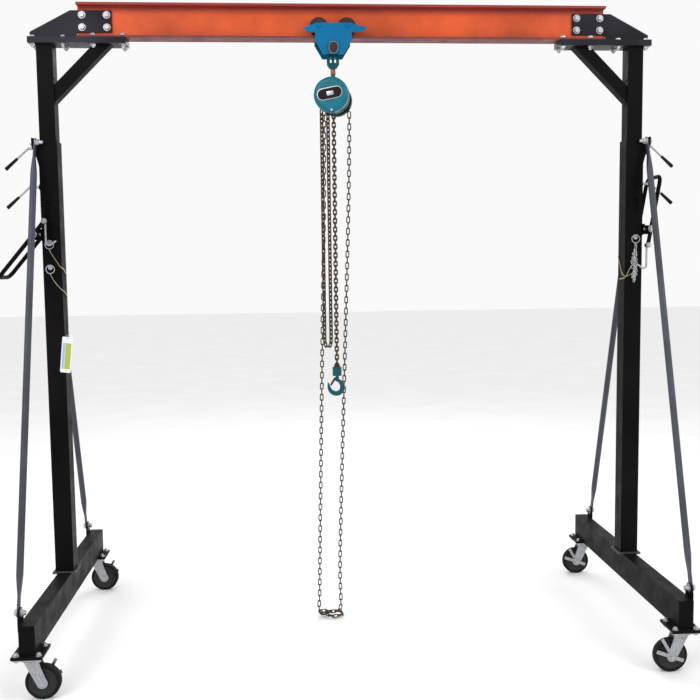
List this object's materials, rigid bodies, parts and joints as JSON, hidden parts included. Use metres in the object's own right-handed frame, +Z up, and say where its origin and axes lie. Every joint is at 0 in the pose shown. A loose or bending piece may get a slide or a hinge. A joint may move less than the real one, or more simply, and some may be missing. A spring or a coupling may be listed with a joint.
{
  "type": "gantry crane",
  "caption": "Wheeled gantry crane with a bolted beam on telescoping legs, and a hand chain hoist hanging from a trolley that rolls along the beam.",
  "frame": {"origin": "on the floor, midway between the two legs", "axes": "+X along the beam, +Y across the beam towards the rear, +Z up"},
  "size_m": [2.8356, 1.272, 2.63],
  "materials": {
    "beam_orange": "semi-gloss orange-red paint with dust",
    "frame_black": "semi-gloss black paint",
    "strut_grey": "satin dark grey paint",
    "zinc": "satin zinc plate",
    "wheel_rubber": "matt black rubber on a dark hub",
    "hoist_teal": "glossy teal paint",
    "chain_bronze": "oiled brown chain",
    "trolley_dark": "dark oiled iron",
    "tag_white": "laminated card"
  },
  "bodies": {
    "left_leg": {"left_foot_beam": "frame_black", "left_base_plate": "frame_black", "left_column": "frame_black", "left_struts": "strut_grey", "left_brackets": "frame_black", "left_mount_plates": "frame_black", "left_caster_plates": "zinc", "left_pins": "zinc", "left_lanyards": "zinc", "hang_tag": "tag_white"},
    "right_leg": {"right_foot_beam": "frame_black", "right_base_plate": "frame_black", "right_column": "frame_black", "right_struts": "strut_grey", "right_brackets": "frame_black", "right_mount_plates": "frame_black", "right_caster_plates": "zinc", "right_pins": "zinc", "right_lanyards": "zinc"},
    "upper_frame": {"main_beam": "beam_orange", "left_upper_column": "frame_black", "right_upper_column": "frame_black", "knee_braces": "frame_black", "corner_plates": "frame_black", "gussets": "frame_black"},
    "trolley": {"trolley_plates": "hoist_teal", "trolley_spindle": "trolley_dark"},
    "trolley_wheel_front_left": {"trolley_wheel_front_left": "trolley_dark"},
    "trolley_wheel_front_right": {"trolley_wheel_front_right": "trolley_dark"},
    "trolley_wheel_rear_left": {"trolley_wheel_rear_left": "trolley_dark"},
    "trolley_wheel_rear_right": {"trolley_wheel_rear_right": "trolley_dark"},
    "hanger": {"hoist_hanger": "trolley_dark"},
    "hoist": {"hoist_frame": "hoist_teal", "gear_cover": "hoist_teal", "hand_wheel_cover": "hoist_teal", "load_chain": "chain_bronze", "hand_chain": "chain_bronze", "hook_block": "hoist_teal"},
    "hook": {"hook": "hoist_teal"},
    "latch": {"hook_latch": "zinc"},
    "left_front_fork": {"left_front_fork": "zinc"},
    "left_front_wheel": {"left_front_wheel": "wheel_rubber"},
    "left_rear_fork": {"left_rear_fork": "zinc"},
    "left_rear_wheel": {"left_rear_wheel": "wheel_rubber"},
    "left_clamp_upper": {"left_clamp_upper": "zinc"},
    "left_clamp_lower": {"left_clamp_lower": "zinc"},
    "left_lift_lever": {"left_lift_lever": "frame_black"},
    "left_lift_hook": {"left_lift_hook": "zinc"},
    "right_front_fork": {"right_front_fork": "zinc"},
    "right_front_wheel": {"right_front_wheel": "wheel_rubber"},
    "right_rear_fork": {"right_rear_fork": "zinc"},
    "right_rear_wheel": {"right_rear_wheel": "wheel_rubber"},
    "right_clamp_upper": {"right_clamp_upper": "zinc"},
    "right_clamp_lower": {"right_clamp_lower": "zinc"},
    "right_lift_lever": {"right_lift_lever": "frame_black"},
    "right_lift_hook": {"right_lift_hook": "zinc"}
  },
  "joints": [
    {"name": "height", "type": "slide", "parent": "left_leg", "child": "upper_frame", "axis": [0, 0, 1], "range_m": [0, 1]},
    {"name": "height_right", "type": "slide", "parent": "upper_frame", "child": "right_leg", "axis": [0, 0, 1], "range_m": [-1, 0]},
    {"name": "trolley_travel", "type": "slide", "parent": "upper_frame", "child": "trolley", "axis": [1, 0, 0], "range_m": [-0.7, 0.81]},
    {"name": "trolley_wheel_front_left_roll", "type": "hinge", "parent": "trolley", "child": "trolley_wheel_front_left", "pos_m": [-0.112, -0.0255, 2.5393], "axis": [0, 1, 0], "continuous": true},
    {"name": "trolley_wheel_front_right_roll", "type": "hinge", "parent": "trolley", "child": "trolley_wheel_front_right", "pos_m": [0.002, -0.0255, 2.5393], "axis": [0, 1, 0], "continuous": true},
    {"name": "trolley_wheel_rear_left_roll", "type": "hinge", "parent": "trolley", "child": "trolley_wheel_rear_left", "pos_m": [-0.112, 0.0255, 2.5393], "axis": [0, 1, 0], "continuous": true},
    {"name": "trolley_wheel_rear_right_roll", "type": "hinge", "parent": "trolley", "child": "trolley_wheel_rear_right", "pos_m": [0.002, 0.0255, 2.5393], "axis": [0, 1, 0], "continuous": true},
    {"name": "hanger_swing", "type": "hinge", "parent": "trolley", "child": "hanger", "pos_m": [-0.055, 0, 2.452], "axis": [0, 1, 0], "range_deg": [-6, 6]},
    {"name": "hoist_swivel", "type": "hinge", "parent": "hanger", "child": "hoist", "pos_m": [-0.055, 0, 2.3], "axis": [0, 0, 1], "continuous": true},
    {"name": "hook_swivel", "type": "hinge", "parent": "hoist", "child": "hook", "pos_m": [-0.055, 0, 1.115], "axis": [0, 0, 1], "continuous": true},
    {"name": "latch_spring", "type": "hinge", "parent": "hook", "child": "latch", "pos_m": [-0.066, 0, 1.084], "axis": [0, 1, 0], "range_deg": [-40, 0], "stiffness_Nm_per_rad": 0.03, "springref_deg": 20.05},
    {"name": "left_front_fork_swivel", "type": "hinge", "parent": "left_leg", "child": "left_front_fork", "pos_m": [-1.218, -0.574, 0.15], "axis": [0, 0, 1], "continuous": true},
    {"name": "left_front_wheel_roll", "type": "hinge", "parent": "left_front_fork", "child": "left_front_wheel", "pos_m": [-1.176, -0.574, 0.064], "axis": [0, 1, 0], "continuous": true},
    {"name": "left_rear_fork_swivel", "type": "hinge", "parent": "left_leg", "child": "left_rear_fork", "pos_m": [-1.218, 0.574, 0.15], "axis": [0, 0, 1], "continuous": true},
    {"name": "left_rear_wheel_roll", "type": "hinge", "parent": "left_rear_fork", "child": "left_rear_wheel", "pos_m": [-1.176, 0.574, 0.064], "axis": [0, 1, 0], "continuous": true},
    {"name": "left_clamp_upper_turn", "type": "hinge", "parent": "left_leg", "child": "left_clamp_upper", "pos_m": [-1.218, 0, 2.056], "axis": [1, 0, 0], "range_deg": [-80, 80]},
    {"name": "left_clamp_lower_turn", "type": "hinge", "parent": "left_leg", "child": "left_clamp_lower", "pos_m": [-1.218, 0, 1.9], "axis": [1, 0, 0], "range_deg": [-80, 80]},
    {"name": "left_lift_lever_swing", "type": "hinge", "parent": "left_leg", "child": "left_lift_lever", "pos_m": [-1.28, 0, 1.705], "axis": [0, 1, 0], "range_deg": [0, 130]},
    {"name": "left_lift_hook_swing", "type": "hinge", "parent": "left_lift_lever", "child": "left_lift_hook", "pos_m": [-1.235, -0.058, 1.75862], "axis": [0, 1, 0], "range_deg": [-130, 0]},
    {"name": "right_front_fork_swivel", "type": "hinge", "parent": "right_leg", "child": "right_front_fork", "pos_m": [1.218, -0.574, 0.15], "axis": [0, 0, 1], "continuous": true},
    {"name": "right_front_wheel_roll", "type": "hinge", "parent": "right_front_fork", "child": "right_front_wheel", "pos_m": [1.176, -0.574, 0.064], "axis": [0, 1, 0], "continuous": true},
    {"name": "right_rear_fork_swivel", "type": "hinge", "parent": "right_leg", "child": "right_rear_fork", "pos_m": [1.218, 0.574, 0.15], "axis": [0, 0, 1], "continuous": true},
    {"name": "right_rear_wheel_roll", "type": "hinge", "parent": "right_rear_fork", "child": "right_rear_wheel", "pos_m": [1.176, 0.574, 0.064], "axis": [0, 1, 0], "continuous": true},
    {"name": "right_clamp_upper_turn", "type": "hinge", "parent": "right_leg", "child": "right_clamp_upper", "pos_m": [1.218, 0, 2.056], "axis": [1, 0, 0], "range_deg": [-80, 80]},
    {"name": "right_clamp_lower_turn", "type": "hinge", "parent": "right_leg", "child": "right_clamp_lower", "pos_m": [1.218, 0, 1.9], "axis": [1, 0, 0], "range_deg": [-80, 80]},
    {"name": "right_lift_lever_swing", "type": "hinge", "parent": "right_leg", "child": "right_lift_lever", "pos_m": [1.28, 0, 1.705], "axis": [0, 1, 0], "range_deg": [0, 130]},
    {"name": "right_lift_hook_swing", "type": "hinge", "parent": "right_lift_lever", "child": "right_lift_hook", "pos_m": [1.26784, -0.058, 1.63606], "axis": [0, 1, 0], "range_deg": [-130, 0]}
  ],
  "couplings": [
    {"joint": "height_right", "follows": "height", "ratio": -1},
    {"joint": "left_lift_hook_swing", "follows": "left_lift_lever_swing", "ratio": -1},
    {"joint": "right_lift_hook_swing", "follows": "right_lift_lever_swing", "ratio": -1}
  ]
}
